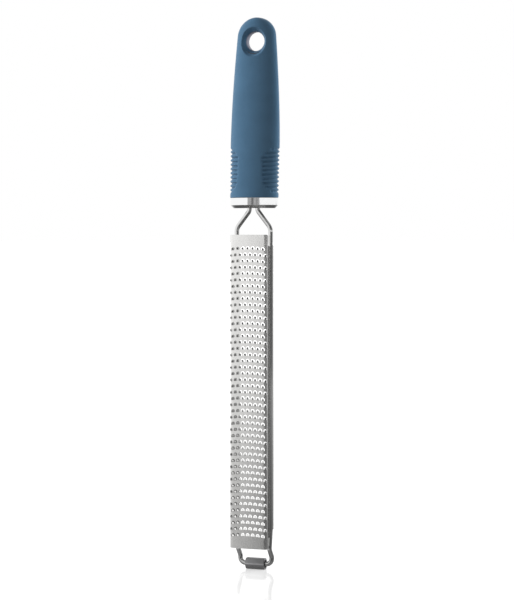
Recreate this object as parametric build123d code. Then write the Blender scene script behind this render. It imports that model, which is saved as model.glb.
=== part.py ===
from build123d import *
from math import asin, atan2, cos, degrees, hypot, radians, sin, tan
import os

# Rasp zester: a bent wire frame that carries a toothed channel blade, a rubber foot and a soft grip.
# Millimetres. +Z runs from the foot up to the grip, and the teeth face -Y.
# The origin is the centre of the foot sleeve's flat underside.

# Shared
cut_overrun = 1.0

# Foot sleeve
sleeve_length = 11.6
sleeve_height = 6.5
sleeve_corner_radius = 1.5
sleeve_clearance = 0.05
sleeve_recess_diameter = 4.6
sleeve_recess_depth = 1.0

# Frame wire, one length bent from leg to leg
wire_diameter = 2.8
rail_spacing = 21.0
foot_spacing = 19.6
leg_spacing = 5.0
foot_setback = 3.7
foot_corner_radius = 3.2
jog_lower_rise = 4.35
jog_height = 4.8
jog_lower_radius = 1.8
jog_upper_radius = 3.0
toe_in_height = 11.6
toe_in_radius = 20.0
rail_length = 174.3
shoulder_radius = 6.0
neck_height = 10.0
leg_bend_radius = 4.0
leg_length = 48.0

# Blade, one etched sheet folded into a channel and hemmed round the rails
sheet_thickness = 0.3
blade_length = 180.9
blade_width = 23.3
blade_end_above_foot = 13.5
blade_end_radius = 1.2
blade_corner_radius = 2.0
channel_depth = 9.4
flange_bottom_setback = 10.5
flange_top_setback = 4.4
hem_clearance = 0.03
hem_wrap = 190

# Teeth, in staggered rows that arch slightly towards the grip
tooth_rows = 47
teeth_in_short_row = 7
tooth_row_pitch = 3.59
tooth_column_pitch = 3.09
tooth_top_margin = 7.8
tooth_row_arch = 0.9
tooth_radius = 0.55
tooth_root_drop = 0.4
tooth_height = 0.5
tooth_slot_width = 0.48

# Collar, a polished cup between the frame and the grip
collar_width = 29.0
collar_depth = 18.2
collar_height = 6.0
collar_wall = 1.2
collar_floor = 2.0
collar_chamfer = 1.7
collar_setback = 0.9
collar_clearance = 0.05
leg_clearance = 0.03

# Grip, a hard core inside a soft skin
grip_length = 104.3
grip_neck_width = 29.2
grip_belly_width = 29.8
grip_crown_width = 23.6
grip_belly_rise = 31.0
grip_neck_depth = 18.4
grip_crown_depth = 12.6
crown_height = 11.5
grip_lean = 2.5
skin_thickness = 2.0
bond_clearance = 0.05
leg_end_clearance = 1.0
width_taper_power = 1.7
depth_taper_power = 1.3
crown_rounding_power = 0.6
taper_shares = (0.0, 0.15, 0.3, 0.45, 0.6, 0.75, 0.88, 1.0)
crown_angles = (22, 42, 58, 71, 81)

# Hanging hole
hole_diameter = 10.8
hole_below_crown = 14.0
hole_land = 4.2
hole_liner = 1.6

# Finger fins, grooves cut into both sides of the skin
groove_count = 11
groove_pitch = 2.45
groove_width = 1.25
groove_depth = 1.0
fin_field_height = 26.0
fin_field_depth = 15.6
fin_field_corner_radius = 6.0
fin_field_rise = 15.6

# Worked out from the sizes above
wire_radius = wire_diameter / 2
crossbar_z = sleeve_height / 2
rail_y = -foot_setback
jog_lower_z = crossbar_z + jog_lower_rise
jog_upper_z = jog_lower_z + jog_height
rail_bottom_z = jog_upper_z + toe_in_height
rail_top_z = rail_bottom_z + rail_length
neck_z = rail_top_z + neck_height
neck_turn = atan2(rail_spacing / 2 - leg_spacing / 2, neck_height)
collar_bottom_z = neck_z + leg_bend_radius * tan(neck_turn / 2)
collar_top_z = collar_bottom_z + collar_height
collar_floor_z = collar_bottom_z + collar_floor
collar_y = rail_y + collar_setback
crown_top_z = collar_top_z + grip_length
crown_base_z = crown_top_z - crown_height
belly_z = collar_top_z + grip_belly_rise
hole_z = crown_top_z - hole_below_crown
blade_top_z = blade_end_above_foot + blade_length


def tube(points, radii, radius):
    """Round bar swept along straight runs joined by tangent arcs."""
    path = FilletPolyline(*points, radius=radii)
    section = Plane(path @ 0, z_dir=path % 0) * Circle(radius)
    return sweep(section, path=path)


def frame_wire():
    """The bent wire: legs, shoulders, rails, jogs and the crossbar at the foot."""
    side = [
        (leg_spacing / 2, rail_y, neck_z + leg_length),
        (leg_spacing / 2, rail_y, neck_z),
        (rail_spacing / 2, rail_y, rail_top_z),
        (rail_spacing / 2, rail_y, rail_bottom_z),
        (foot_spacing / 2, rail_y, jog_upper_z),
        (foot_spacing / 2, 0, jog_lower_z),
        (foot_spacing / 2, 0, crossbar_z),
    ]
    other_side = [(-x, y, z) for x, y, z in reversed(side)]
    side_radii = [leg_bend_radius, shoulder_radius, toe_in_radius]
    side_radii += [jog_upper_radius, jog_lower_radius, foot_corner_radius]
    return tube(side + other_side, side_radii + side_radii[::-1], wire_radius)


def foot_sleeve():
    """Rubber sleeve of rounded hexagon section on the crossbar, recessed at both ends."""
    across = RegularPolygon(sleeve_height / 2, side_count=6, major_radius=False)
    across = fillet(across.vertices(), sleeve_corner_radius)
    body = extrude(Plane.YZ * across, amount=sleeve_length / 2, both=True)
    bore = Plane.YZ * Circle(wire_radius + sleeve_clearance)
    body -= extrude(bore, amount=sleeve_length / 2 + cut_overrun, both=True)
    for end in (-1, 1):
        mouth = Cylinder(sleeve_recess_diameter / 2, sleeve_recess_depth + cut_overrun)
        middle = sleeve_length / 2 + (cut_overrun - sleeve_recess_depth) / 2
        body -= Location((end * middle, 0, 0)) * Rotation(0, 90, 0) * mouth
    return Location((0, 0, crossbar_z)) * body


# The folded sheet's section: a flat face, two corners, two leaning flanges and two hems.
hem_radius = wire_radius + hem_clearance
face_y = rail_y - channel_depth
corner_x = blade_width / 2 - blade_corner_radius
corner_y = face_y + blade_corner_radius
rail_from_corner_x = rail_spacing / 2 - corner_x
rail_from_corner_y = rail_y - corner_y
flange_reach = hypot(rail_from_corner_x, rail_from_corner_y)
flange_lean = asin((hem_radius + blade_corner_radius) / flange_reach)
flange_lean -= atan2(rail_from_corner_x, rail_from_corner_y)


def side_surface(corner_radius, hem_arc_radius):
    """Right-hand half of one surface of the sheet: face, corner, flange and hem."""
    lean = degrees(flange_lean)
    flange_normal = Vector(cos(flange_lean), sin(flange_lean))
    corner = Vector(corner_x, corner_y)
    rail = Vector(rail_spacing / 2, rail_y)
    face = Line((0, corner_y - corner_radius), (corner_x, corner_y - corner_radius))
    bend = CenterArc(corner, corner_radius, -90, 90 + lean)
    flange = Line(corner + flange_normal * corner_radius, rail - flange_normal * hem_arc_radius)
    hem = CenterArc(rail, hem_arc_radius, 180 + lean, -hem_wrap)
    return face, bend, flange, hem


def blade_outline():
    """Closed section of the sheet, with both surfaces and the two hem ends."""
    outer_hem = hem_radius + sheet_thickness
    side = Curve() + side_surface(blade_corner_radius, hem_radius)
    side += side_surface(blade_corner_radius - sheet_thickness, outer_hem)
    hem_end = flange_lean + radians(180 - hem_wrap)
    rail = Vector(rail_spacing / 2, rail_y)
    outward = Vector(cos(hem_end), sin(hem_end))
    side += Line(rail + outward * hem_radius, rail + outward * outer_hem)
    return make_face(side + mirror(side, about=Plane.YZ))


def on_face(along):
    """Place on the sheet's outside, at a distance along it from the middle line."""
    if abs(along) <= corner_x:
        return along, face_y, 0
    side = 1 if along > 0 else -1
    angle = side * (abs(along) - corner_x) / blade_corner_radius
    x = side * corner_x + blade_corner_radius * sin(angle)
    return x, corner_y - blade_corner_radius * cos(angle), degrees(angle)


def tooth_places():
    """Staggered rows of places for the teeth, from the grip end down."""
    places = []
    for row in range(tooth_rows):
        count = teeth_in_short_row + row % 2
        row_z = blade_top_z - tooth_top_margin - row * tooth_row_pitch
        for column in range(count):
            along = (column - (count - 1) / 2) * tooth_column_pitch
            x, y, turn = on_face(along)
            drop = tooth_row_arch * (along / (blade_width / 2)) ** 2
            places.append(Location((x, y, row_z - drop), (0, 0, turn)))
    return places


def tooth_ramp():
    """Slope inside the slot, from the root up to the round cutting edge, sunk into the sheet."""
    sunk = sheet_thickness / 2
    side = Polyline(
        (-tooth_root_drop, -sunk), (-tooth_root_drop, 0), (tooth_radius, tooth_height),
        (tooth_radius, -sunk), close=True)
    across = Plane((-tooth_radius, 0, 0), x_dir=(0, 0, 1), z_dir=(1, 0, 0))
    ramp = extrude(across * make_face(side), amount=2 * tooth_radius)
    return ramp & extrude(Plane.XZ * Circle(tooth_radius), amount=2 * tooth_height, both=True)


def tooth_slot():
    """Ring slot through the sheet, cut off straight at the root, where the tooth stays joined."""
    reach = tooth_radius + tooth_slot_width
    above_root = Location((0, (reach - tooth_root_drop) / 2)) * Rectangle(2 * reach, reach + tooth_root_drop)
    slot = (Circle(reach) & above_root) - Circle(tooth_radius)
    return extrude(Plane.XZ * slot, amount=2 * tooth_height + sheet_thickness, both=True)


def blade():
    """Toothed channel with hems that wrap the rails, and flanges shorter than the face."""
    sheet = Location((0, 0, blade_end_above_foot)) * extrude(blade_outline(), amount=blade_length)
    depth = channel_depth + wire_diameter
    for setback, end_z, into in (
        (flange_bottom_setback, blade_end_above_foot, 1),
        (flange_top_setback, blade_top_z, -1),
    ):
        middle_z = end_z + into * (setback - cut_overrun) / 2
        gap = Box(blade_width + wire_diameter, depth, setback + cut_overrun)
        sheet -= Location((0, corner_y + depth / 2, middle_z)) * gap
    front = Plane.XZ * Location((0, blade_end_above_foot + blade_length / 2))
    window = front * RectangleRounded(blade_width + cut_overrun, blade_length, blade_end_radius)
    ramp = tooth_ramp()
    slot = tooth_slot()
    places = tooth_places()
    sheet &= extrude(window, amount=2 * channel_depth + depth, both=True)
    sheet += [place * ramp for place in places]
    sheet -= [place * slot for place in places]
    return sheet


def ellipse_prism(width, depth, bottom_z, height, inset=0):
    """Upright elliptical bar on the collar's axis, drawn in all round by the inset."""
    section = Ellipse(width / 2 - inset, depth / 2 - inset)
    return Location((0, collar_y, bottom_z)) * extrude(section, amount=height)


def leg_bores(bottom_z, top_z, clearance):
    """Two upright bores for the wire's legs."""
    bore = Cylinder(wire_radius + clearance, top_z - bottom_z)
    middle_z = (top_z + bottom_z) / 2
    return [Location((side * leg_spacing / 2, rail_y, middle_z)) * bore for side in (-1, 1)]


def collar():
    """Polished cup with a chamfered lower edge and two holes in its floor for the legs."""
    body = ellipse_prism(collar_width, collar_depth, collar_bottom_z, collar_height)
    body = chamfer(body.edges().sort_by(Axis.Z)[0], collar_chamfer)
    hollow_height = collar_height - collar_floor + cut_overrun
    body -= ellipse_prism(collar_width, collar_depth, collar_floor_z, hollow_height, collar_wall)
    return body - leg_bores(collar_bottom_z - cut_overrun, collar_top_z, leg_clearance)


def grip_axis_y(z):
    """The grip leans back from the collar."""
    return collar_y + tan(radians(grip_lean)) * (z - collar_top_z)


def grip_half_width(z):
    """Half width of the grip, widest at the belly and narrower towards the crown."""
    if z < belly_z:
        share = (belly_z - z) / grip_belly_rise
        return (grip_belly_width - (grip_belly_width - grip_neck_width) * share**2) / 2
    share = (z - belly_z) / (crown_base_z - belly_z)
    return (grip_belly_width - (grip_belly_width - grip_crown_width) * share**width_taper_power) / 2


def grip_half_depth(z):
    """Half depth of the grip, thinner towards the crown."""
    share = (z - collar_top_z) / (crown_base_z - collar_top_z)
    return (grip_neck_depth - (grip_neck_depth - grip_crown_depth) * share**depth_taper_power) / 2


def grip_solid(inset):
    """The grip's form drawn in by the inset: ellipses up to the crown, closed by a point."""
    sections = []
    for share in taper_shares:
        z = collar_top_z + share * (crown_base_z - collar_top_z)
        ellipse = Ellipse(grip_half_width(z) - inset, grip_half_depth(z) - inset)
        sections.append(Location((0, grip_axis_y(z), z)) * ellipse)
    for angle in crown_angles:
        z = crown_base_z + (crown_height - inset) * sin(radians(angle))
        wide = (grip_half_width(crown_base_z) - inset) * cos(radians(angle))
        deep = (grip_half_depth(crown_base_z) - inset) * cos(radians(angle)) ** crown_rounding_power
        sections.append(Location((0, grip_axis_y(z), z)) * Ellipse(wide, deep))
    sections.append(Vertex(0, grip_axis_y(crown_top_z - inset), crown_top_z - inset))
    return loft(sections)


def hanging_hole():
    """Flared cut for the hanging hole: a straight land with a round lip on both faces."""
    bore = hole_diameter / 2
    land = hole_land / 2
    lip = grip_half_depth(hole_z) - land
    mouth = land + lip + cut_overrun
    edge = Curve() + Line((0, -mouth), (bore + lip, -mouth))
    edge += Line((bore + lip, -mouth), (bore + lip, -land - lip))
    edge += CenterArc((bore + lip, -land), lip, -90, -90)
    edge += Line((bore, -land), (bore, land))
    edge += CenterArc((bore + lip, land), lip, 180, -90)
    edge += Line((bore + lip, land + lip), (bore + lip, mouth))
    edge += Line((bore + lip, mouth), (0, mouth))
    edge += Line((0, mouth), (0, -mouth))
    cutter = revolve(make_face(edge), axis=Axis.Y)
    return Location((0, grip_axis_y(hole_z), hole_z)) * cutter


def finger_grooves():
    """Slots in a rounded field on each side, as deep as the groove and no deeper."""
    field_z = collar_top_z + fin_field_rise
    lean = radians(grip_lean)
    across = (0, cos(lean), -sin(lean))
    field = RectangleRounded(fin_field_depth, fin_field_height, fin_field_corner_radius)
    field = Plane((0, grip_axis_y(field_z), field_z), x_dir=across, z_dir=(1, 0, 0)) * field
    prism = extrude(field, amount=grip_belly_width, both=True)
    floor = grip_solid(groove_depth)
    slots = []
    for groove in range(groove_count):
        z = field_z + (groove - (groove_count - 1) / 2) * groove_pitch
        slab = Box(2 * grip_belly_width, 2 * grip_neck_depth, groove_width)
        slots.append((Location((0, grip_axis_y(z), z)) * slab & prism) - floor)
    return slots


def grip_core():
    """Hard core: a spigot in the collar, bores for the legs and a hole behind the liner."""
    inset = skin_thickness + bond_clearance
    spigot_inset = collar_wall + collar_clearance
    spigot_height = collar_top_z - collar_floor_z
    body = grip_solid(inset)
    body += ellipse_prism(collar_width, collar_depth, collar_floor_z, spigot_height, spigot_inset)
    leg_top_z = neck_z + leg_length + leg_end_clearance
    body -= leg_bores(collar_floor_z - cut_overrun, leg_top_z, leg_clearance)
    hole = Cylinder(hole_diameter / 2 + hole_liner + bond_clearance, 2 * grip_neck_depth)
    return body - Location((0, grip_axis_y(hole_z), hole_z)) * Rotation(90, 0, 0) * hole


def grip_skin():
    """Soft skin over the core, with finger grooves, that also lines the hanging hole."""
    hollow = grip_solid(skin_thickness)
    liner = Cylinder(hole_diameter / 2 + hole_liner, 2 * grip_neck_depth)
    hollow -= Location((0, grip_axis_y(hole_z), hole_z)) * Rotation(90, 0, 0) * liner
    return grip_solid(0) - hollow - finger_grooves() - hanging_hole()


if __name__ == "__main__":
    os.makedirs("parts", exist_ok=True)
    for make in (frame_wire, foot_sleeve, blade, collar, grip_core, grip_skin):
        export_step(make(), f"parts/{make.__name__}.step")
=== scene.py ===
"""Rasp zester: the finished surfaces of a wire-framed zester, with its stage, lights and camera."""

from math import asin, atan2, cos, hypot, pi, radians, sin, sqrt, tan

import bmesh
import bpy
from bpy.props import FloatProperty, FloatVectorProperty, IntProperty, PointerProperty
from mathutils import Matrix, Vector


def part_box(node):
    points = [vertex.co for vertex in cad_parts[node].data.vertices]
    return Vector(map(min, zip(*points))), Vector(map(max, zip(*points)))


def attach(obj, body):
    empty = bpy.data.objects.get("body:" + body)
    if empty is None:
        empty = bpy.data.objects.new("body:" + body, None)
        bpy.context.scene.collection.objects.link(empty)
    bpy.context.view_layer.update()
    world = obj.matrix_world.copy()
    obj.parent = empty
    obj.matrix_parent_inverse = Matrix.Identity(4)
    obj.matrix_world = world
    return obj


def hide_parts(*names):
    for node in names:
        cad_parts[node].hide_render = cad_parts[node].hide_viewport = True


bl_info = {
    "name": "Rasp Zester",
    "version": (1, 0, 0),
    "blender": (4, 5, 0),
    "location": "3D View > Sidebar > Zester",
    "description": "Builds the grip, blade, collar, foot and wire of a rasp zester on its frame",
    "category": "Object",
}

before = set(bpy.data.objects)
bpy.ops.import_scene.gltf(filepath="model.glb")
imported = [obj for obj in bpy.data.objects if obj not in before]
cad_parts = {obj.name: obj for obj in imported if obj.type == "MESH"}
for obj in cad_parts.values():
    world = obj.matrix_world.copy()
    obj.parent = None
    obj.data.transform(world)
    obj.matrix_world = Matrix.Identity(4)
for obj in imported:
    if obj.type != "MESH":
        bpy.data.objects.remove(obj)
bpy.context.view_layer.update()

BODY = "root"
MM = 0.001
NEAR = 0.01 * MM
# Between pieces that are crimped, pressed or bonded together
CLEARANCE = 0.03 * MM
BAR_SIDES = 48

# Where the frame puts the pieces
skin_low, skin_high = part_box("grip_skin")
collar_low, collar_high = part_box("collar")
blade_low, blade_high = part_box("blade")
sleeve_low, sleeve_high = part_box("foot_sleeve")
wire_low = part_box("frame_wire")[0]
collar_y = (collar_low.y + collar_high.y) / 2


def length(name, description, default):
    """A size in metres."""
    return FloatProperty(
        name=name, description=description, default=default, subtype="DISTANCE", unit="LENGTH", precision=5)


def angle(name, description, default):
    """An angle, given in degrees."""
    return FloatProperty(
        name=name, description=description, default=radians(default), subtype="ANGLE", unit="ROTATION")


def power(name, description, default):
    """A lamp's power in watts."""
    return FloatProperty(name=name, description=description, default=default, unit="POWER")


def number(name, description, default):
    """A plain number that isn't negative."""
    return FloatProperty(name=name, description=description, default=default, min=0)


def colour(name, description, default):
    """A colour in linear light."""
    return FloatVectorProperty(
        name=name, description=description, default=default, subtype="COLOR", min=0, max=1)


class ZesterGripSettings(bpy.types.PropertyGroup):
    """The soft grip, its fins and its hanging hole."""

    neck_width: length("Neck width", "Width where the grip meets the collar", 29.2 * MM)
    belly_rise: length("Belly rise", "Height of the widest place above the collar", 31 * MM)
    crown_width: length("Crown width", "Width where the round top begins", 23.6 * MM)
    crown_height: length("Crown height", "Height of the round top", 11.5 * MM)
    neck_depth: length("Neck depth", "Front to back at the collar", 18.4 * MM)
    crown_depth: length("Crown depth", "Front to back where the round top begins", 12.6 * MM)
    lean: angle("Lean", "How far the grip leans back", 2.5)
    groove_count: IntProperty(name="Grooves", description="Grooves in each side", default=11, min=1)
    groove_pitch: length("Groove pitch", "From one groove to the next", 2.45 * MM)
    groove_width: length("Groove width", "Height of one groove", 1.25 * MM)
    groove_depth: length("Groove depth", "How far a groove is let in", 1.0 * MM)
    field_rise: length("Fin rise", "Height of the middle groove above the collar", 15.6 * MM)
    field_depth: length("Fin depth", "Front to back of the finned patch", 15.2 * MM)
    hole_radius: length("Hole radius", "Radius of the hanging hole", 5.4 * MM)
    hole_below_crown: length("Hole below crown", "From the top to the hole's middle", 14.0 * MM)
    hole_land: length("Hole land", "Length of the hole's straight middle", 4.2 * MM)
    flare_slope: number("Flare slope", "How fast the hole widens towards the faces", 0.75)
    tint: colour("Colour", "Colour of the soft skin", (0.06, 0.146, 0.245))
    # Painted light: a paler, greyer colour on the hole's wall stands in for back light on it
    wall_light_tint: colour("Wall colour", "Colour of the hole's straight wall", (0.18, 0.185, 0.23))


class ZesterBladeSettings(bpy.types.PropertyGroup):
    """The toothed sheet."""

    sheet: length("Sheet", "Thickness of the sheet", 0.3 * MM)
    width: length("Width", "Outside width of the channel", 23.3 * MM)
    channel_depth: length("Channel depth", "From the rails to the toothed face", 9.4 * MM)
    crown: length("Crown", "How far the face's edges lie behind its middle", 0.5 * MM)
    corner_radius: length("Corner radius", "Outside radius of the folds", 2.0 * MM)
    end_radius: length("End radius", "Radius of the face's four corners", 1.2 * MM)
    bottom_setback: length("Bottom setback", "How much sooner the flanges end at the foot", 10.5 * MM)
    top_setback: length("Top setback", "How much sooner the flanges end at the grip", 4.4 * MM)
    flange_drop: length("Flange drop", "How far the flanges reach below the hems", 4.5 * MM)
    rows: IntProperty(name="Rows", description="Rows of teeth", default=47, min=1)
    short_row: IntProperty(name="Short row", description="Teeth in the shorter rows", default=7, min=1)
    row_pitch: length("Row pitch", "From one row to the next", 3.59 * MM)
    column_pitch: length("Column pitch", "From one tooth to the next in a row", 3.09 * MM)
    top_margin: length("Top margin", "From the sheet's upper end to the first row", 7.8 * MM)
    row_arch: length("Row arch", "How far a row drops towards its ends", 0.9 * MM)
    tooth_radius: length("Tooth radius", "Radius of a tooth's cutting edge", 0.62 * MM)
    tooth_height: length("Tooth height", "How far a tooth stands out", 0.5 * MM)
    slot_width: length("Slot width", "Width of the slot round a tooth", 0.54 * MM)
    root_drop: length("Root drop", "From the middle of the slot's arc down to the tooth's root", 0.6 * MM)
    tint: colour("Colour", "Colour of the etched steel", (0.93, 0.925, 0.91))


class ZesterCollarSettings(bpy.types.PropertyGroup):
    """The polished collar."""

    chamfer: length("Chamfer", "Height of the slanted lower edge", 1.7 * MM)
    wall: length("Wall", "Thickness of the cup's wall", 1.2 * MM)
    floor: length("Floor", "Thickness of the cup's floor", 2.0 * MM)
    draft: length("Draft", "How much the side leans in by the top", 0.15 * MM)
    edge: length("Edge", "Width of the broken edges", 0.12 * MM)
    tint: colour("Colour", "Colour of the polished steel", (0.93, 0.935, 0.94))


class ZesterFootSettings(bpy.types.PropertyGroup):
    """The rubber sleeve on the crossbar."""

    corner_radius: length("Corner radius", "Radius of the six long edges", 1.5 * MM)
    recess_radius: length("Recess radius", "Radius of the recess in each end", 2.3 * MM)
    recess_depth: length("Recess depth", "Depth of the recess in each end", 1.0 * MM)
    edge: length("Edge", "Radius of the rims at both ends", 0.3 * MM)
    tint: colour("Colour", "Colour of the rubber", (0.22, 0.22, 0.225))


class ZesterWireSettings(bpy.types.PropertyGroup):
    """The bent wire frame."""

    diameter: length("Diameter", "Thickness of the wire", 2.8 * MM)
    rail_spacing: length("Rail spacing", "Between the middles of the two rails", 21.0 * MM)
    leg_spacing: length("Leg spacing", "Between the middles of the two legs", 5.0 * MM)
    tint: colour("Colour", "Colour of the drawn steel", (0.74, 0.74, 0.735))


class ZesterStageSettings(bpy.types.PropertyGroup):
    """Camera, floor and lights."""

    azimuth: angle("Azimuth", "How far round to the right the camera stands", 22)
    pitch: angle("Pitch", "How far the camera looks down", 1.7)
    distance: length("Distance", "From the camera to the rails, along the floor", 1.156)
    height: length("Height", "Camera height above the floor", 0.191)
    aside: length("Aside", "How far to the right of the rails the camera aims", 0.0019)
    lens: FloatProperty(
        name="Lens", description="Focal length", default=120.0, subtype="DISTANCE_CAMERA")
    key_light: power("Key light", "Power of the left lamp", 24)
    rim_light: power("Rim light", "Power of the back lamp", 28)
    fill_light: number("Fill light", "Strength of the surroundings as a light", 0.36)
    floor_glow: number("Floor glow", "What lifts the floor to white in the picture", 0.9)


def deselect():
    """Leave nothing selected, because operators act on all that is."""
    bpy.ops.object.select_all(action="DESELECT")


def primitive(add, scale=None, **values):
    """Add a primitive mesh, with its place, turn and size taken into its vertices."""
    deselect()
    add(**values)
    piece = bpy.context.object
    if scale:
        piece.scale = scale
    bpy.ops.object.transform_apply()
    return piece


def edit():
    """Enter edit mode on the active object, with all vertices selected."""
    bpy.ops.object.mode_set(mode="EDIT")
    bpy.ops.mesh.select_mode(type="VERT")
    bpy.ops.mesh.select_all(action="SELECT")


def leave_edit():
    """Go back to object mode."""
    bpy.ops.object.mode_set(mode="OBJECT")


def turn_outward():
    """In edit mode, turn all faces outwards, and leave the mode."""
    bpy.ops.mesh.select_all(action="SELECT")
    bpy.ops.mesh.normals_make_consistent(inside=False)
    leave_edit()


def choose(elements, test):
    """In edit mode, select the verts, edges or faces that pass the test, and nothing else."""
    bpy.ops.mesh.select_all(action="DESELECT")
    mesh = bmesh.from_edit_mesh(bpy.context.object.data)
    for element in getattr(mesh, elements):
        element.select = test(element)
    mesh.select_flush_mode()
    bmesh.update_edit_mesh(bpy.context.object.data)


def pick(test):
    """In edit mode, select the vertices whose places pass the test, and nothing else."""
    choose("verts", lambda vertex: test(vertex.co))


def extrude(move, growth=None, centre=None):
    """Extrude what is selected by a vector, and make it grow from a centre if it should."""
    bpy.ops.mesh.extrude_region_move(TRANSFORM_OT_translate={"value": move})
    if growth:
        bpy.ops.transform.resize(value=growth, center_override=centre)


def activate(piece):
    """Select one object alone."""
    deselect()
    piece.select_set(True)
    bpy.context.view_layer.objects.active = piece


def apply_modifier(piece, kind, **values):
    """Add a modifier with these values and apply it."""
    activate(piece)
    modifier = piece.modifiers.new(kind.title(), kind)
    for name, value in values.items():
        setattr(modifier, name, value)
    bpy.ops.object.modifier_apply(modifier=modifier.name)


def cut(piece, cutter):
    """Take the cutter's volume out of the piece, and remove the cutter."""
    apply_modifier(piece, "BOOLEAN", object=cutter, operation="DIFFERENCE", solver="EXACT")
    bpy.data.objects.remove(cutter)


def round_bar(radius, depth, place, turn=0):
    """A round bar to cut with, upright, or turned towards the side."""
    return primitive(
        bpy.ops.mesh.primitive_cylinder_add, vertices=BAR_SIDES, radius=radius, depth=depth,
        location=place, rotation=(0, turn, 0))


def break_edges(piece, width, segments, least_turn):
    """Round the edges where the surface turns by more than an angle."""
    apply_modifier(
        piece, "BEVEL", width=width, segments=segments, limit_method="ANGLE", angle_limit=least_turn,
        use_clamp_overlap=True)


def reshape(piece, place):
    """Move each vertex to where the function puts it."""
    for vertex in piece.data.vertices:
        vertex.co = place(vertex.co)
    piece.data.update()


def join(pieces):
    """Join objects into the first, and merge the vertices where they meet."""
    activate(pieces[0])
    for piece in pieces:
        piece.select_set(True)
    bpy.ops.object.join()
    edit()
    bpy.ops.mesh.remove_doubles(threshold=NEAR)
    leave_edit()
    return bpy.context.object


def finish(piece, name, node, material, smooth_angle=radians(35)):
    """Put the origin in place, shade the piece and set it on the frame."""
    activate(piece)
    bpy.ops.object.transform_apply()
    edit()
    turn_outward()
    bpy.ops.object.shade_smooth_by_angle(angle=smooth_angle)
    piece.name = name
    piece.data.name = name
    piece.data.materials.clear()
    piece.data.materials.append(material)
    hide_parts(node)
    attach(piece, BODY)


# Grip

GRIP_SIDES = 144
HOLE_SIDES = 96
HOLE_STEP = 0.4 * MM
PLAIN_RING_STEP = 1.3 * MM
GROOVE_WALL = 0.2 * MM
LOWER_EDGE = 2 * GROOVE_WALL
CROWN_RINGS = 12
# Share of a step above the crown's base at which its first ring lies
FIRST_CROWN_RING = 0.2
FIELD_CORNER = 6 * MM
WIDTH_TAPER_POWER = 1.7
DEPTH_TAPER_POWER = 1.3
CROWN_ROUNDING_POWER = 0.6
FLARE_ROUNDING = 0.5 * MM


def crown_base(settings):
    """Height where the round top begins."""
    return skin_high.z - settings.crown_height


def hole_height(settings):
    """Height of the hanging hole's middle."""
    return skin_high.z - settings.hole_below_crown


def grip_axis_y(settings, z):
    """The grip leans back from the collar."""
    return collar_y + tan(settings.lean) * (z - collar_high.z)


def grip_half_width(settings, z):
    """Half width, widest at the belly and narrower towards the crown."""
    belly_width = skin_high.x - skin_low.x
    belly_z = collar_high.z + settings.belly_rise
    if z < belly_z:
        share = (belly_z - z) / settings.belly_rise
        return (belly_width - (belly_width - settings.neck_width) * share**2) / 2
    share = min((z - belly_z) / (crown_base(settings) - belly_z), 1)
    return (belly_width - (belly_width - settings.crown_width) * share**WIDTH_TAPER_POWER) / 2


def grip_half_depth(settings, z):
    """Half depth, thinner towards the crown."""
    share = min((z - collar_high.z) / (crown_base(settings) - collar_high.z), 1)
    change = settings.neck_depth - settings.crown_depth
    return (settings.neck_depth - change * share**DEPTH_TAPER_POWER) / 2


def groove_places(settings):
    """Heights of the grooves' middles."""
    middle = collar_high.z + settings.field_rise
    first = middle - (settings.groove_count - 1) / 2 * settings.groove_pitch
    return [first + index * settings.groove_pitch for index in range(settings.groove_count)]


def ring_heights(settings):
    """Heights of the grip's rings: four at each groove, and evenly spaced ones elsewhere."""
    grooves = groove_places(settings)
    reach = settings.groove_width / 2
    heights = []
    for z in grooves:
        heights += [z - reach, z - reach + GROOVE_WALL, z + reach - GROOVE_WALL, z + reach]
    low = collar_high.z + 3 * GROOVE_WALL
    for start, stop in ((low, heights[0]), (heights[-1], crown_base(settings))):
        count = max(int((stop - start) / PLAIN_RING_STEP), 1)
        heights += [start + (stop - start) * (index + 0.5) / count for index in range(count)]
    return sorted(heights)


def grip_rings(settings):
    """Height, half width and half depth of each ring from the collar up to the crown."""
    base = collar_high.z + CLEARANCE
    wide, deep = grip_half_width(settings, base), grip_half_depth(settings, base)
    rings = [(base, wide - inset, deep - inset) for inset in (LOWER_EDGE, LOWER_EDGE / 4)]
    rings.append((base + LOWER_EDGE / 2, wide, deep))
    for z in ring_heights(settings):
        rings.append((z, grip_half_width(settings, z), grip_half_depth(settings, z)))
    base = crown_base(settings)
    for ring in range(CROWN_RINGS):
        rise = pi / 2 * (ring + FIRST_CROWN_RING) / CROWN_RINGS
        wide = grip_half_width(settings, base) * cos(rise)
        deep = grip_half_depth(settings, base) * cos(rise) ** CROWN_ROUNDING_POWER
        rings.append((base + settings.crown_height * sin(rise), wide, deep))
    return rings


def in_fin_field(settings, place):
    """Whether a place lies in the finned patch, a rounded rectangle on each side."""
    middle = collar_high.z + settings.field_rise
    half_height = settings.groove_pitch * (settings.groove_count - 1) / 2 + settings.groove_width / 2
    over = abs(place.z - middle) - (half_height - FIELD_CORNER)
    aside = abs(place.y - grip_axis_y(settings, place.z)) - (settings.field_depth / 2 - FIELD_CORNER)
    if over < 0 or aside < 0:
        return over < FIELD_CORNER and aside < FIELD_CORNER
    return hypot(over, aside) < FIELD_CORNER


def hole_radius_at(settings, depth):
    """Radius of the hanging hole, straight in its middle and flared towards both faces."""
    past = abs(depth) - settings.hole_land / 2
    return settings.hole_radius + settings.flare_slope * (past + hypot(past, FLARE_ROUNDING)) / 2


def soften(piece, test):
    """Let the shading run on smoothly over the edges whose ends pass the test."""
    places = piece.data.vertices
    for edge in piece.data.edges:
        if all(test(places[index].co) for index in edge.vertices):
            edge.use_edge_sharp = False


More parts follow.
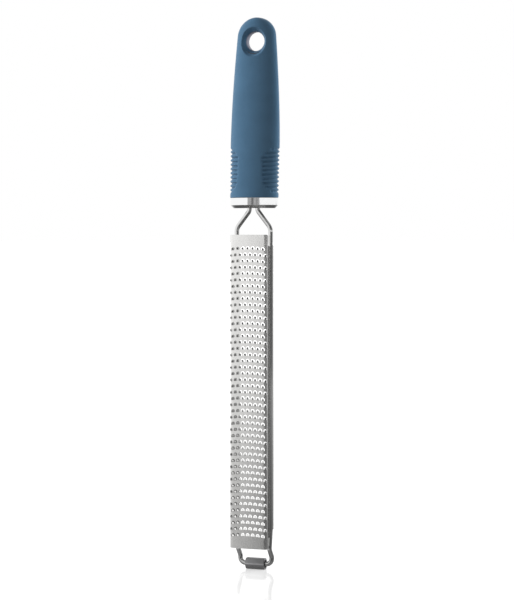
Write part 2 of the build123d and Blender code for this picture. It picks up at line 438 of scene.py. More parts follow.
class ZESTER_OT_grip(bpy.types.Operator):
    """Build the soft grip with its fins and its hanging hole"""

    bl_idname = "zester.grip"
    bl_label = "Grip"

    def execute(self, context):
        settings = context.scene.zester_grip
        rings = grip_rings(settings)
        base_z, wide, deep = rings[0]
        middle = (0, grip_axis_y(settings, base_z), base_z)
        grip = primitive(
            bpy.ops.mesh.primitive_circle_add, (wide, deep, 1), vertices=GRIP_SIDES, radius=1,
            fill_type="NGON", location=middle)
        edit()
        for z, next_wide, next_deep in rings[1:]:
            centre = (0, grip_axis_y(settings, z), z)
            growth = (next_wide / wide, next_deep / deep, 1)
            extrude((0, centre[1] - middle[1], z - middle[2]), growth, centre)
            middle, wide, deep = centre, next_wide, next_deep
        bpy.ops.mesh.poke()
        self.press_grooves(settings)
        leave_edit()
        apply_modifier(grip, "SUBSURF", levels=1, render_levels=1)
        cut(grip, self.hole(settings))
        finish(grip, "soft_grip", "grip_skin", soft_rubber(settings))
        hole_z = hole_height(settings)
        soften(grip, lambda co: hypot(co.x, co.z - hole_z) < 2 * settings.hole_radius)
        return {"FINISHED"}

    def press_grooves(self, settings):
        """Sink the two inner rings of each groove, where the patch has it."""
        reach = settings.groove_width / 2 - GROOVE_WALL / 2
        grooves = groove_places(settings)

        def sunk(place):
            near = min(abs(place.z - z) for z in grooves) < reach
            return near and in_fin_field(settings, place)

        pick(sunk)
        bpy.ops.transform.shrink_fatten(value=-settings.groove_depth, use_even_offset=False)

    def hole(self, settings):
        """A spool-shaped solid that leaves the hanging hole with its flares."""
        hole_z = hole_height(settings)
        middle = grip_axis_y(settings, hole_z)
        depth = -settings.neck_depth / 2
        radius = hole_radius_at(settings, depth)
        spool = primitive(
            bpy.ops.mesh.primitive_circle_add, vertices=HOLE_SIDES, radius=radius, fill_type="NGON",
            location=(0, middle + depth, hole_z), rotation=(pi / 2, 0, 0))
        edit()
        while depth < settings.neck_depth / 2:
            depth += HOLE_STEP
            growth = hole_radius_at(settings, depth) / radius
            extrude((0, HOLE_STEP, 0), (growth, 1, growth), (0, middle + depth, hole_z))
            radius = hole_radius_at(settings, depth)
        turn_outward()
        return spool


# Blade

TOOTH_SIDES = 16
TOOTH_RISE_POWER = 1.3
TOOTH_MIDDLE_RISE = 0.4
# Share of a tongue's radius at which a ring runs inside its edge
INNER_RING = 0.5
ROOT_MARGIN = 0.25 * MM
ROOT_CORNER = 0.9
MARGIN_STEPS = 3
FLANGE_STEPS = 3
HEM_STEPS = 10
HEM_WRAP = radians(190)
BLADE_SMOOTHING = radians(40)


class Fold:
    """The sheet's path across, seen from the foot: crowned face, corner, leaning flange and hem."""

    def __init__(self, blade, wire):
        self.rail = Vector((wire.rail_spacing / 2, wire_low.y + wire.diameter / 2))
        self.face_y = self.rail.y - blade.channel_depth
        self.radius = blade.corner_radius
        self.hem_radius = wire.diameter / 2 + CLEARANCE
        corner_x = blade.width / 2 - self.radius
        self.tilt = 2 * blade.crown / corner_x
        self.crown_radius = corner_x / sin(self.tilt) + self.radius
        corner_y = self.face_y + self.crown_radius - (self.crown_radius - self.radius) * cos(self.tilt)
        self.corner = Vector((corner_x, corner_y))
        across = self.rail - self.corner
        lean = asin((self.hem_radius + self.radius) / across.length) - atan2(across.x, across.y)
        self.turn = pi / 2 + lean
        self.face_end = self.crown_radius * self.tilt
        self.square_edge = self.face_end + self.radius * (pi / 2 - self.tilt)
        self.flange_start = self.face_end + self.radius * (self.turn - self.tilt)
        self.flange_end = self.flange_start + sqrt(across.length**2 - (self.hem_radius + self.radius) ** 2)
        self.hem_end = self.flange_end + self.hem_radius * HEM_WRAP

    def place(self, flat):
        """From a place on the flat sheet (across, along, out) to its place in the folded one."""
        across, height, out = abs(flat.x), flat.y, flat.z
        if across <= self.face_end:
            turn = across / self.crown_radius
            middle = Vector((0, self.face_y + self.crown_radius))
            point = middle + Vector((sin(turn), -cos(turn))) * (self.crown_radius + out)
        elif across <= self.flange_end:
            turn = min(self.tilt + (across - self.face_end) / self.radius, self.turn)
            along = Vector((cos(turn), sin(turn))) * max(across - self.flange_start, 0)
            point = self.corner + Vector((sin(turn), -cos(turn))) * (self.radius + out) + along
        else:
            turn = pi / 2 + self.turn - (across - self.flange_end) / self.hem_radius
            point = self.rail + Vector((cos(turn), sin(turn))) * (self.hem_radius - out)
        return Vector((point.x if flat.x >= 0 else -point.x, point.y, height))


def cell_place(settings, ring, place):
    """From a place on one of four round rings to its place in the cell."""
    across, up = place.x / place.length, place.y / place.length
    square = Vector((min(max(across * sqrt(2), -1), 1), min(max(up * sqrt(2), -1), 1)))
    if ring == 3:
        square = Vector((round(2 * square.x) / 2, round(2 * square.y) / 2))
        return Vector((square.x * settings.column_pitch / 2, square.y * settings.row_pitch / 2, 0))
    radius = (INNER_RING, 1, 1 + settings.slot_width / settings.tooth_radius)[ring] * settings.tooth_radius
    if up > -NEAR:
        x, y = across * radius, up * radius
    else:
        x, y = square.x * radius, square.y * settings.root_drop * (INNER_RING, 1, 1)[ring]
        if ring == 2 and abs(square.x) < ROOT_CORNER:
            y -= ROOT_MARGIN
    rise = 0
    if ring < 2:
        share = (y + settings.root_drop) / (settings.tooth_radius + settings.root_drop)
        rise = settings.tooth_height * max(share, 0) ** TOOTH_RISE_POWER
    return Vector((x, y, rise))


def tooth_cell(settings):
    """One flat cell of the sheet: a raised tongue in an arched slot, joined at its root."""
    cell = primitive(bpy.ops.mesh.primitive_circle_add, vertices=TOOTH_SIDES, radius=1, fill_type="TRIFAN")
    edit()
    for ring in (1, 2, 3):
        pick(lambda co: round(co.length) == ring)
        extrude((0, 0, 0), ((ring + 1) / ring,) * 3, (0, 0, 0))

    def in_slot(face):
        middle = face.calc_center_median()
        return 2 < middle.length < 3 and middle.y > -middle.length / sqrt(2)

    bpy.ops.mesh.select_mode(type="FACE")
    choose("faces", in_slot)
    bpy.ops.mesh.delete(type="FACE")
    leave_edit()

    def place(co):
        ring = round(co.length)
        if ring == 0:
            return Vector((0, 0, settings.tooth_height * TOOTH_MIDDLE_RISE))
        return cell_place(settings, ring - 1, co)

    reshape(cell, place)
    return cell


def plain_cell(settings):
    """Half a flat cell without a hole, which fills out the shorter rows."""
    scale = (settings.column_pitch / 2, settings.row_pitch, 1)
    return primitive(bpy.ops.mesh.primitive_grid_add, scale, x_subdivisions=2, y_subdivisions=4, size=1)


def repeat(cell, start, columns, column_step, rows, row_step):
    """Set a cell at its first place and repeat it in columns and rows."""
    activate(cell)
    cell.location = (*start, 0)
    bpy.ops.object.transform_apply()
    for count, step in ((columns, (column_step, 0, 0)), (rows, (0, -row_step, 0))):
        apply_modifier(
            cell, "ARRAY", count=count, use_relative_offset=False, use_constant_offset=True,
            constant_offset_displace=step)
    return cell


def field_ends(settings):
    """Heights of the toothed field's upper and lower end."""
    top = blade_high.z - settings.top_margin + settings.row_pitch / 2
    return top, top - settings.rows * settings.row_pitch


class ZESTER_OT_blade(bpy.types.Operator):
    """Build the toothed channel, hemmed round the rails"""

    bl_idname = "zester.blade"
    bl_label = "Blade"

    def execute(self, context):
        settings = context.scene.zester_blade
        fold = Fold(settings, context.scene.zester_wire)
        sheet = self.toothed_field(settings)
        self.widen(settings, fold)
        reshape(sheet, lambda co: self.round_end(settings, fold, co))
        reshape(sheet, lambda co: self.arch(settings, fold, co))
        reshape(sheet, fold.place)
        edit()
        turn_outward()
        apply_modifier(sheet, "SOLIDIFY", thickness=settings.sheet, offset=-1, use_even_offset=True)
        material = etched_steel(settings.tint)
        finish(sheet, "toothed_blade", "blade", material, BLADE_SMOOTHING)
        return {"FINISHED"}

    def toothed_field(self, settings):
        """All rows of cells, laid flat."""
        across, along = settings.column_pitch, settings.row_pitch
        top = blade_high.z - settings.top_margin
        short, rows = settings.short_row, settings.rows
        short_start, long_start = -(short - 1) / 2 * across, -short / 2 * across
        edge = (short / 2 + 0.25) * across
        return join([
            repeat(tooth_cell(settings), (short_start, top), short, across, rows - rows // 2, 2 * along),
            repeat(tooth_cell(settings), (long_start, top - along), short + 1, across, rows // 2, 2 * along),
            repeat(plain_cell(settings), (-edge, top), 2, 2 * edge, rows - rows // 2, 2 * along)])

    def widen(self, settings, fold):
        """Extrude the margins, and then the folds, flanges and hems."""
        top, bottom = field_ends(settings)
        edge = (settings.short_row + 1) / 2 * settings.column_pitch
        edit()
        for start, end, way in ((top, blade_high.z, 1), (bottom, blade_low.z, -1)):
            pick(lambda co: abs(co.y - start) < NEAR)
            for step in range(MARGIN_STEPS, -1, -1):
                stop = end - way * step * settings.end_radius / MARGIN_STEPS
                extrude((0, stop - start, 0))
                start = stop
        high = blade_high.z - settings.top_setback
        hem_low = blade_low.z + settings.bottom_setback
        low = hem_low - settings.flange_drop
        self.extrude_sides(edge, fold.square_edge, 1, blade_low.z, blade_high.z)
        self.extrude_sides(fold.square_edge, fold.flange_start, 1, low, high)
        self.extrude_sides(fold.flange_start, fold.flange_end, FLANGE_STEPS, low, high)
        self.extrude_sides(fold.flange_end, fold.hem_end, HEM_STEPS, hem_low, high)
        leave_edit()

    def extrude_sides(self, start, end, count, low, high):
        """Extrude both side edges outwards in steps, between two heights."""
        step = (end - start) / count
        for index in range(count):
            edge = start + index * step
            for side in (-1, 1):
                pick(lambda co: abs(co.x - side * edge) < NEAR and low - NEAR < co.y < high + NEAR)
                extrude((side * step, 0, 0))

    def round_end(self, settings, fold, place):
        """Round the face's four corners."""
        middle = (blade_high.z + blade_low.z) / 2
        radius = settings.end_radius
        side = 1 if place.x > 0 else -1
        way = 1 if place.y > middle else -1
        corner_x = fold.square_edge - radius
        corner_y = (blade_high.z - blade_low.z) / 2 - radius
        across = (abs(place.x) - corner_x) / radius
        along = (abs(place.y - middle) - corner_y) / radius
        if across <= 0 or along <= 0 or across > 1.01:
            return place
        rounded = Vector((across * sqrt(1 - along**2 / 2), along * sqrt(1 - across**2 / 2)))
        x = side * (corner_x + rounded.x * radius)
        return Vector((x, middle + way * (corner_y + rounded.y * radius), place.z))

    def arch(self, settings, fold, place):
        """Drop the rows' ends a little, fading out in the margins and on the flanges."""
        across = min(abs(place.x), fold.square_edge)
        drop = settings.row_arch * (across / (settings.width / 2)) ** 2
        drop *= max(1 - max(abs(place.x) - fold.square_edge, 0) / settings.channel_depth, 0)
        top, bottom = field_ends(settings)
        share = min((blade_high.z - place.y) / (blade_high.z - top), 1)
        share = min((place.y - blade_low.z) / (bottom - blade_low.z), share)
        return Vector((place.x, place.y - drop * max(share, 0), place.z))


# Collar

COLLAR_SIDES = 160
COLLAR_EDGE_ANGLE = radians(30)


class ZESTER_OT_collar(bpy.types.Operator):
    """Build the polished collar between the wire and the grip"""

    bl_idname = "zester.collar"
    bl_label = "Collar"

    def execute(self, context):
        settings = context.scene.zester_collar
        size = collar_high - collar_low
        middle = (collar_high + collar_low) / 2
        scale = (size.x / 2, size.y / 2, size.z)
        collar = primitive(
            bpy.ops.mesh.primitive_cylinder_add, scale, vertices=COLLAR_SIDES, radius=1, depth=1,
            location=middle)
        edit()
        bpy.ops.mesh.select_mode(type="FACE")
        pick(lambda co: co.z > collar_high.z - NEAR)
        bpy.ops.mesh.inset(thickness=settings.wall)
        extrude((0, 0, settings.floor - size.z))
        bpy.ops.mesh.select_mode(type="VERT")
        pick(lambda co: co.z < collar_low.z + NEAR)
        bpy.ops.mesh.bevel(offset=settings.chamfer, segments=1, affect="EDGES", clamp_overlap=False)
        pick(lambda co: co.z > collar_high.z - NEAR)
        narrower = [1 - 2 * settings.draft / size.x, 1 - 2 * settings.draft / size.y, 1]
        bpy.ops.transform.resize(value=narrower, center_override=middle)
        leave_edit()
        wire = context.scene.zester_wire
        for side in (-1, 1):
            place = (side * wire.leg_spacing / 2, wire_low.y + wire.diameter / 2, collar_low.z)
            cut(collar, round_bar(wire.diameter / 2 + CLEARANCE, size.z, place))
        break_edges(collar, settings.edge, 3, COLLAR_EDGE_ANGLE)
        finish(collar, "polished_collar", "collar", mirror_steel(settings.tint))
        apply_modifier(collar, "WEIGHTED_NORMAL", keep_sharp=True, weight=100)
        return {"FINISHED"}


# Foot sleeve

CORNER_SEGMENTS = 8
RIM_ANGLE = radians(60)
FOOT_SMOOTHING = radians(30)


class ZESTER_OT_foot(bpy.types.Operator):
    """Build the rubber sleeve on the crossbar"""

    bl_idname = "zester.foot"
    bl_label = "Foot"

    def execute(self, context):
        settings = context.scene.zester_foot
        size = sleeve_high - sleeve_low
        middle = (sleeve_high + sleeve_low) / 2
        sleeve = primitive(
            bpy.ops.mesh.primitive_cylinder_add, vertices=6, radius=size.z / 2 / cos(pi / 6),
            depth=size.x, location=middle, rotation=(0, pi / 2, 0))
        reach = settings.corner_radius * tan(pi / 6)
        edit()
        bpy.ops.mesh.select_mode(type="EDGE")
        choose("edges", lambda edge: abs(edge.verts[0].co.x - edge.verts[1].co.x) > size.x - NEAR)
        bpy.ops.mesh.bevel(
            offset=reach, segments=CORNER_SEGMENTS, affect="EDGES", clamp_overlap=False)
        leave_edit()
        break_edges(sleeve, settings.edge, 4, RIM_ANGLE)
        for side in (-1, 1):
            place = (side * size.x / 2, middle.y, middle.z)
            cut(sleeve, round_bar(settings.recess_radius, 2 * settings.recess_depth, place, pi / 2))
        radius = context.scene.zester_wire.diameter / 2 + CLEARANCE
        cut(sleeve, round_bar(radius, 2 * size.x, (0, middle.y, middle.z), pi / 2))
        material = grey_rubber(settings.tint)
        finish(sleeve, "rubber_foot", "foot_sleeve", material, FOOT_SMOOTHING)
        return {"FINISHED"}


# Wire and core

class ZESTER_OT_wire(bpy.types.Operator):
    """Finish the bent wire and the hidden core"""

    bl_idname = "zester.wire"
    bl_label = "Wire"

    def execute(self, context):
        settings = context.scene.zester_wire
        for node, material in (("frame_wire", drawn_steel(settings.tint)), ("grip_core", hard_plastic())):
            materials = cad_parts[node].data.materials
            materials.clear()
            materials.append(material)
        return {"FINISHED"}


# Materials

# Painted shade: the folds' outer sides, past this line and in front of the fold's back, are darkened
FOLD_LINE = 11.5 * MM
FOLD_LINE_FADE = 0.15 * MM
FOLD_BACK = -9 * MM
FOLD_BACK_FADE = 0.6 * MM
# How far off the middle the flanges' inner sides are known, and where painted shade darkens them towards the
# foot
INNER_SIDES = (-3 * MM, -6 * MM)
INNER_SHADE_HEIGHTS = (150 * MM, 50 * MM)
# Painted shade: heights between which the wire darkens towards the foot
FOOT_SHADE_HEIGHTS = (23 * MM, 17 * MM)
# Painted highlight: width of the paler line round the sleeve at mid height
HIGHLIGHT_LINE_WIDTH = 0.3 * MM
# Shares by which a colour is multiplied there: painted shade in the folds, inside the flanges and on the
# wire at the foot, and a painted highlight in a line round the sleeve
FOLD_SHADE_SHARE, INNER_SHADE_SHARE, FOOT_SHADE_SHARE, HIGHLIGHT_LINE_SHARE = 0.45, 0.3, 0.8, 1.9
# How far past the hole's wall its painted light starts and ends to fade
WALL_LIGHT_FADE = (0.1 * MM, 0.5 * MM)
# The middle of a noise's range, which most of it falls into
NOISE_LOW, NOISE_HIGH = 0.3, 0.7


class Nodes:
    """The nodes of a material or of the world, with short ways to add to them."""

    def __init__(self, owner):
        owner.use_nodes = True
        self.owner = owner
        self.tree = owner.node_tree

    def feed(self, node, inputs):
        """Give each input its constant, or the output that it follows."""
        for name, value in inputs.items():
            if isinstance(value, bpy.types.NodeSocket):
                self.tree.links.new(value, node.inputs[name])
            else:
                node.inputs[name].default_value = value

    def add(self, kind, output, inputs=None, **values):
        """Add a node with these values and inputs, and give back one of its outputs."""
        node = self.tree.nodes.new("ShaderNode" + kind)
        for name, value in values.items():
            setattr(node, name, value)
        self.feed(node, inputs or {})
        return node.outputs[output]

    def math(self, operation, *inputs):
        return self.add("Math", "Value", dict(enumerate(inputs)), operation=operation)

    def coordinate(self, axis, kind="Object"):
        """One part of the place on the object, or with Normal of the surface's direction."""
        return self.add("SeparateXYZ", axis, {"Vector": self.add("TexCoord", kind)})

    def distance(self, place, middle):
        return self.add("VectorMath", "Value", {0: place, 1: middle}, operation="DISTANCE")

    def noise(self, grain, detail=3.0, stretch=(1, 1, 1)):
        """Noise whose cells are about the grain's size in metres, stretched along the axes."""
        scale = [1 / (grain * factor) for factor in stretch]
        place = self.add("Mapping", "Vector", {"Vector": self.add("TexCoord", "Object"), "Scale": scale})
        return self.add("TexNoise", "Fac", {"Vector": place, "Scale": 1, "Detail": detail})

    def spread(self, source, start, end, low=0, high=1, kind="LINEAR"):
        """What goes from low to high while the source goes from start to end."""
        inputs = {"Value": source, "From Min": start, "From Max": end, "To Min": low, "To Max": high}
        return self.add("MapRange", "Result", inputs, interpolation_type=kind)

    def fade(self, source, start, end):
        """What goes gently from 0 to 1 while the source goes from start to end."""
        return self.spread(source, start, end, kind="SMOOTHSTEP")

    def mix(self, factor, first, second, blend="MIX"):
        """The first colour, with the second laid over it by the factor."""
        inputs = {"Factor": factor, "A": first, "B": second}
        return self.add("Mix", "Result", inputs, data_type="RGBA", blend_type=blend)

    def ramp(self, source, pairs):
        """Colour that follows pairs of a place between 0 and 1 and a colour."""
        node = self.tree.nodes.new("ShaderNodeValToRGB")
        elements = node.color_ramp.elements
        for place, tint in pairs[1:-1]:
            elements.new(place)
        for element, (place, tint) in zip(elements, pairs):
            element.position = place
            element.color = (*tint, 1)
        self.feed(node, {"Fac": source})
        return node.outputs["Color"]

    def shade_by_distance(self, shades, middle=(0, 0, 0)):
        """Grey that changes with the distance from a middle."""
        farthest = sqrt(shades[-1][0])
        root = self.math("SQRT", self.distance(self.add("TexCoord", "Object"), middle))
        pairs = [(sqrt(distance) / farthest, (shade,) * 3) for distance, shade in shades]
        return self.ramp(self.math("DIVIDE", root, farthest), pairs)

    def shade_by_azimuth(self, shades):
        """Grey that changes with the direction from the origin, in degrees to the right of the front."""
        place = self.add("TexCoord", "Object")
        turned = self.add("Mapping", "Vector", {"Vector": place, "Rotation": (0, 0, pi / 2)})
        around = self.add("TexGradient", "Fac", {"Vector": turned}, gradient_type="RADIAL")
        return self.ramp(around, [((azimuth + 180) / 360, (shade,) * 3) for azimuth, shade in shades])


class Look(Nodes):
    """A material's nodes, with short ways to change its surface."""

    def __init__(self, name, metallic, roughness, tint):
        super().__init__(bpy.data.materials.new(name))
        self.shader = self.tree.nodes["Principled BSDF"]
        self.feed(self.shader, {"Metallic": metallic, "Roughness": roughness, "Base Color": (*tint, 1)})

    def set(self, socket, value):
        self.feed(self.shader, {socket: value})

    def vary_roughness(self, source, low, high):
        self.set("Roughness", self.spread(source, NOISE_LOW, NOISE_HIGH, low, high))

    def vary_colour(self, source, tint, amount):
        """Vary the colour's brightness by a share either way."""
        darker = [part * (1 - amount) for part in tint]
        brighter = [min(part * (1 + amount), 1) for part in tint]
        self.set("Base Color", self.ramp(source, [(NOISE_LOW, darker), (NOISE_HIGH, brighter)]))

    def lay_over(self, source, tint, blend="MIX"):
        """Lay another colour over the varied one, as far as the source says."""
        varied = self.shader.inputs["Base Color"].links[0].from_socket
        self.set("Base Color", self.mix(source, varied, (*tint, 1), blend))

    def multiply(self, share, first, second=1.0):
        """Multiply the colour by a share, where both sources are high."""
        self.lay_over(self.math("MULTIPLY", first, second), (share,) * 3, "MULTIPLY")

    def bump(self, source, height):
        """Raise the surface by up to a height."""
        self.set("Normal", self.add("Bump", "Normal", {"Distance": height, "Height": source}))


def soft_rubber(settings):
    """Matt soft-touch skin with a fine moulded grain, and painted light: paler and greyer on the hole's
    straight wall.
    """
    look = Look("soft_rubber", 0, 0.55, settings.tint)
    look.vary_colour(look.noise(9 * MM, 2), settings.tint, 0.05)
    along_hole = {0: look.add("TexCoord", "Object"), 1: (1, 0, 1)}
    flat = look.add("VectorMath", "Vector", along_hole, operation="MULTIPLY")
    away = look.distance(flat, (0, 0, hole_height(settings)))
    start, end = [settings.hole_radius + past for past in WALL_LIGHT_FADE]
    # Painted light on the hole's wall
    look.lay_over(look.fade(away, end, start), settings.wall_light_tint)
    look.vary_roughness(look.noise(1.5 * MM), 0.5, 0.6)
    look.bump(look.noise(0.22 * MM, 2), 0.012 * MM)
    look.set("Specular IOR Level", 0.45)
    look.set("Sheen Weight", 0.3)
    look.set("Sheen Roughness", 0.35)
    return look.owner


def etched_steel(tint):
    """Satin sheet with rolling grain along its length, with painted shade at the folds and inside the
    channel towards the foot.
    """
    look = Look("etched_steel", 1, 0.26, tint)
    grain = look.noise(0.15 * MM, 2, (1, 1, 40))
    look.vary_colour(look.noise(6 * MM, 2), tint, 0.03)
    across = look.math("ABSOLUTE", look.coordinate("X"))
    folds = look.fade(across, FOLD_LINE, FOLD_LINE + FOLD_LINE_FADE)
    front = look.fade(look.coordinate("Y"), FOLD_BACK, FOLD_BACK - FOLD_BACK_FADE)
    # Painted shade along the folds
    look.multiply(FOLD_SHADE_SHARE, folds, front)
    outward = look.math("MULTIPLY", look.coordinate("X"), look.coordinate("X", "Normal"))
    inner = look.spread(outward, *INNER_SIDES)
    # Painted shade on the inner sides, deeper towards the foot
    look.multiply(INNER_SHADE_SHARE, inner, look.fade(look.coordinate("Z"), *INNER_SHADE_HEIGHTS))
    look.vary_roughness(grain, 0.23, 0.28)
    look.bump(grain, 0.001 * MM)
    return look.owner


def drawn_steel(tint):
    """Polished wire with faint draw marks, and painted shade that darkens it towards the foot."""
    look = Look("drawn_steel", 1, 0.1, tint)
    grain = look.noise(0.2 * MM, 2, (1, 1, 30))
    look.vary_colour(look.noise(5 * MM, 2), tint, 0.03)
    # Painted shade towards the foot
    look.multiply(FOOT_SHADE_SHARE, look.fade(look.coordinate("Z"), *FOOT_SHADE_HEIGHTS))
    look.vary_roughness(grain, 0.07, 0.13)
    look.bump(grain, 0.002 * MM)
    return look.owner


def mirror_steel(tint):
    """Mirror polish with faint wiping marks."""
    look = Look("mirror_steel", 1, 0.06, tint)
    look.vary_roughness(look.noise(2 * MM), 0.04, 0.09)
    look.bump(look.noise(4 * MM, 1), 0.01 * MM)
    return look.owner


def grey_rubber(tint):
    """Moulded rubber, satin with a fine grain, and a painted highlight: a paler line round the sleeve at mid
    height, along its front and back edges.
    """
    look = Look("grey_rubber", 0, 0.45, tint)
    look.vary_colour(look.noise(3 * MM, 2), tint, 0.06)
    # Painted highlight in a line round the sleeve at mid height
    highlight_line_z = (sleeve_low.z + sleeve_high.z) / 2
    above = look.fade(look.coordinate("Z"), highlight_line_z + 2 * HIGHLIGHT_LINE_WIDTH, highlight_line_z + HIGHLIGHT_LINE_WIDTH / 2)
    below = look.fade(look.coordinate("Z"), highlight_line_z - 2 * HIGHLIGHT_LINE_WIDTH, highlight_line_z - HIGHLIGHT_LINE_WIDTH / 2)
    look.multiply(HIGHLIGHT_LINE_SHARE, above, below)
    look.vary_roughness(look.noise(0.8 * MM), 0.38, 0.5)
    look.bump(look.noise(0.18 * MM, 2), 0.01 * MM)
    return look.owner


def hard_plastic():
    """Moulded core, hidden in the grip."""
    tint = (0.05, 0.06, 0.08)
    look = Look("hard_plastic", 0, 0.5, tint)
    look.vary_colour(look.noise(4 * MM), tint, 0.08)
    look.vary_roughness(look.noise(1 * MM), 0.42, 0.55)
    return look.owner


# Stage

# Also how far the camera sees
FLOOR_SIZE = 400
# Lamps: azimuth in degrees, distance and height
KEY_PLACE = (-73, 1.3, 0.75)
RIM_PLACE = (133, 1.5, 0.5)
LAMP_SIZE = 0.9
AIM_HEIGHT = 0.2
CARD_DISTANCE = 1.6
CARD_AHEAD = 0.02
# Streaks in the collar: azimuth and half angle in degrees, steps in front, and how bright
STREAK_CARDS = ((-6, 19, 0, 0.36), (-10, 3.5, 1, 0.15), (4, 2.5, 1, 0.25))
STREAK_HEIGHTS = (0.3, 0.42)
# Dark room at the right: azimuth and half angle in degrees, and how bright
SIDE_CARDS = ((36, 26, 0.1), (82, 20, 0.13), (119, 17, 0.35))
SIDE_HEIGHTS = ((-0.05, 0.3), (0.44, CARD_DISTANCE))
CEILING_SHADE = 0.3
# Share of the glow that lifts the floor to white, which the lamps' reach makes up for near the object
GLOW_SHADES = ((0.0, 0.47), (0.6, 0.47), (1.6, 0.95), (4.0, 1.0))
# How metal sees the floor at a low angle: distance from the object and brightness
FLOOR_SHADES = ((0.0, 0.6), (0.1, 0.56), (0.15, 0.48), (0.35, 0.6), (0.9, 0.9), (2.2, 1.0), (4.0, 1.0))
# Azimuth in degrees and share of that brightness, with how far it counts at each distance
FLOOR_SIDES = (
    (-180, 1.0), (-60, 1.0), (-22, 0.6), (-8, 0.38), (4, 0.2), (50, 0.22), (88, 0.3), (120, 0.5),
    (150, 1.0), (180, 1.0))
FLOOR_SIDES_FACTORS = ((0.0, 1.0), (0.9, 1.0), (2.5, 0.5), (4.0, 0.4))
# How metal sees the floor from above: distance from a bright patch in front of the foot and brightness
BRIGHT_PATCH = (-0.016, -0.05, 0)
PATCH_SHADES = ((0.0, 1.0), (0.028, 1.0), (0.04, 0.35), (0.08, 0.09), (0.25, 0.08), (0.6, 0.3), (4.0, 0.7))
# Layer Weight's facing, between which the look from above gives way to the one at a low angle
LOW_ANGLES = (0.45, 0.75)


def direction(azimuth):
    """A flat direction, turned to the right of the front."""
    return Vector((sin(azimuth), -cos(azimuth), 0))


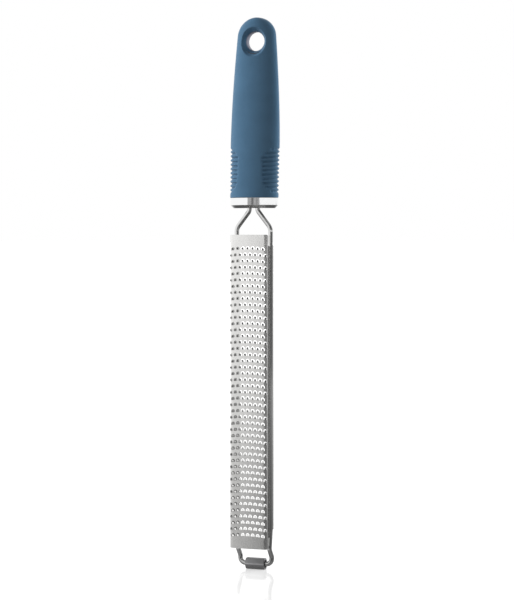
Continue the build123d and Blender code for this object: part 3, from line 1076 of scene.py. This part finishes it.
class ZESTER_OT_stage(bpy.types.Operator):
    """Add the floor, the lights and the camera"""

    bl_idname = "zester.stage"
    bl_label = "Stage"

    def execute(self, context):
        settings = context.scene.zester_stage
        context.scene.camera = self.camera(settings, context.scene.zester_wire)
        context.scene.view_settings.view_transform = "Standard"
        self.floor(settings)
        self.world(context.scene, settings)
        for azimuth, half_angle, steps, shade in STREAK_CARDS:
            self.card(azimuth, half_angle, *STREAK_HEIGHTS, steps, shade)
        for azimuth, half_angle, shade in SIDE_CARDS:
            for low, high in SIDE_HEIGHTS:
                self.card(azimuth, half_angle, low, high, 0, shade)
        bpy.ops.mesh.primitive_plane_add(size=2 * CARD_DISTANCE, location=(0, 0, CARD_DISTANCE))
        self.only_mirrored(bpy.context.object, CEILING_SHADE)
        self.soft_box(*KEY_PLACE, settings.key_light)
        self.soft_box(*RIM_PLACE, settings.rim_light)
        return {"FINISHED"}

    def camera(self, settings, wire):
        """Camera at the photograph's viewing angle, aimed a little right of the rails."""
        right = Vector((cos(settings.azimuth), sin(settings.azimuth), 0))
        bpy.ops.object.camera_add(rotation=(pi / 2 - settings.pitch, 0, settings.azimuth))
        camera = bpy.context.object
        camera.location = (0, wire_low.y + wire.diameter / 2, settings.height)
        camera.location += right * settings.aside + direction(settings.azimuth) * settings.distance
        camera.data.lens = settings.lens
        camera.data.sensor_width = 36
        camera.data.clip_end = FLOOR_SIZE
        return camera

    def floor(self, settings):
        """White glossy floor, which metal sees darker near the object than far off."""
        bpy.ops.mesh.primitive_plane_add(size=FLOOR_SIZE)
        floor = bpy.context.object
        floor.name = "floor"
        look = Look("white_floor", 0, 0.1, (0.55, 0.55, 0.55))
        look.set("Specular IOR Level", 0.55)
        glow = look.math("MULTIPLY", look.add("LightPath", "Is Camera Ray"), settings.floor_glow)
        seen = {"Color": look.shade_by_distance(GLOW_SHADES), "Strength": glow}
        lit = {0: look.shader.outputs["BSDF"], 1: look.add("Emission", "Emission", seen)}
        factor = look.shade_by_distance(FLOOR_SIDES_FACTORS)
        from_low = look.mix(
            factor, look.shade_by_distance(FLOOR_SHADES), look.shade_by_azimuth(FLOOR_SIDES), "MULTIPLY")
        from_above = look.shade_by_distance(PATCH_SHADES, BRIGHT_PATCH)
        lowness = look.fade(look.add("LayerWeight", "Facing"), *LOW_ANGLES)
        mirrored = look.add("Emission", "Emission", {"Color": look.mix(lowness, from_above, from_low)})
        choice = {
            "Fac": look.add("LightPath", "Is Glossy Ray"), 1: look.add("AddShader", "Shader", lit),
            2: mirrored}
        output = look.tree.nodes["Material Output"]
        look.feed(output, {"Surface": look.add("MixShader", "Shader", choice)})
        floor.data.materials.append(look.owner)

    def card(self, azimuth, half_angle, low, high, steps, shade):
        """A dark upright card."""
        away = CARD_DISTANCE - steps * CARD_AHEAD
        turned = radians(azimuth)
        place = direction(turned) * away + Vector((0, 0, (low + high) / 2))
        bpy.ops.mesh.primitive_plane_add(size=1, location=place, rotation=(pi / 2, 0, turned))
        bpy.context.object.scale = (2 * away * tan(radians(half_angle)), high - low, 1)
        self.only_mirrored(bpy.context.object, shade)

    def only_mirrored(self, card, shade):
        """Show a card in what shines, and nowhere else."""
        card.name = "dark_card"
        card.visible_camera = False
        card.visible_diffuse = False
        card.visible_shadow = False
        look = Look("dark_card", 0, 1, (0, 0, 0))
        look.set("Specular IOR Level", 0)
        look.set("Emission Color", (shade, shade, shade, 1))
        look.set("Emission Strength", 1)
        card.data.materials.append(look.owner)

    def world(self, scene, settings):
        """White behind the object and in reflections, and weaker as a light."""
        scene.world = bpy.data.worlds.new("studio")
        nodes = Nodes(scene.world)
        seen = nodes.add("LightPath", "Is Camera Ray")
        for name in ("Is Glossy Ray", "Is Transmission Ray"):
            seen = nodes.math("MAXIMUM", seen, nodes.add("LightPath", name))
        strength = nodes.spread(seen, 0, 1, settings.fill_light)
        nodes.feed(nodes.tree.nodes["Background"], {"Color": (1, 1, 1, 1), "Strength": strength})

    def soft_box(self, azimuth, distance, height, watts):
        """A large soft lamp turned to the grip, left out of reflections."""
        place = direction(radians(azimuth)) * distance + Vector((0, 0, height))
        aim = place - Vector((0, 0, AIM_HEIGHT))
        bpy.ops.object.light_add(
            type="AREA", location=place, rotation=aim.to_track_quat("Z", "Y").to_euler())
        lamp = bpy.context.object
        lamp.data.energy = watts
        lamp.data.size = LAMP_SIZE
        lamp.visible_glossy = False


class ZESTER_PT_panel(bpy.types.Panel):
    """Lists the zester's pieces"""

    bl_label = "Rasp Zester"
    bl_idname = "ZESTER_PT_panel"
    bl_space_type = "VIEW_3D"
    bl_region_type = "UI"
    bl_category = "Zester"

    def draw(self, context):
        for operator in operators:
            self.layout.operator(operator.bl_idname)


settings_groups = {
    "zester_grip": ZesterGripSettings,
    "zester_blade": ZesterBladeSettings,
    "zester_collar": ZesterCollarSettings,
    "zester_foot": ZesterFootSettings,
    "zester_wire": ZesterWireSettings,
    "zester_stage": ZesterStageSettings,
}
operators = (
    ZESTER_OT_stage, ZESTER_OT_wire, ZESTER_OT_foot, ZESTER_OT_blade, ZESTER_OT_collar, ZESTER_OT_grip)


def register():
    for cls in (*settings_groups.values(), *operators, ZESTER_PT_panel):
        bpy.utils.register_class(cls)
    for name, group in settings_groups.items():
        setattr(bpy.types.Scene, name, PointerProperty(type=group))


def unregister():
    for name in settings_groups:
        delattr(bpy.types.Scene, name)
    for cls in (ZESTER_PT_panel, *operators, *settings_groups.values()):
        bpy.utils.unregister_class(cls)


def main():
    """Build everything."""
    register()
    bpy.ops.zester.stage()
    bpy.ops.zester.wire()
    bpy.ops.zester.foot()
    bpy.ops.zester.blade()
    bpy.ops.zester.collar()
    bpy.ops.zester.grip()


if __name__ == "__main__":
    main()
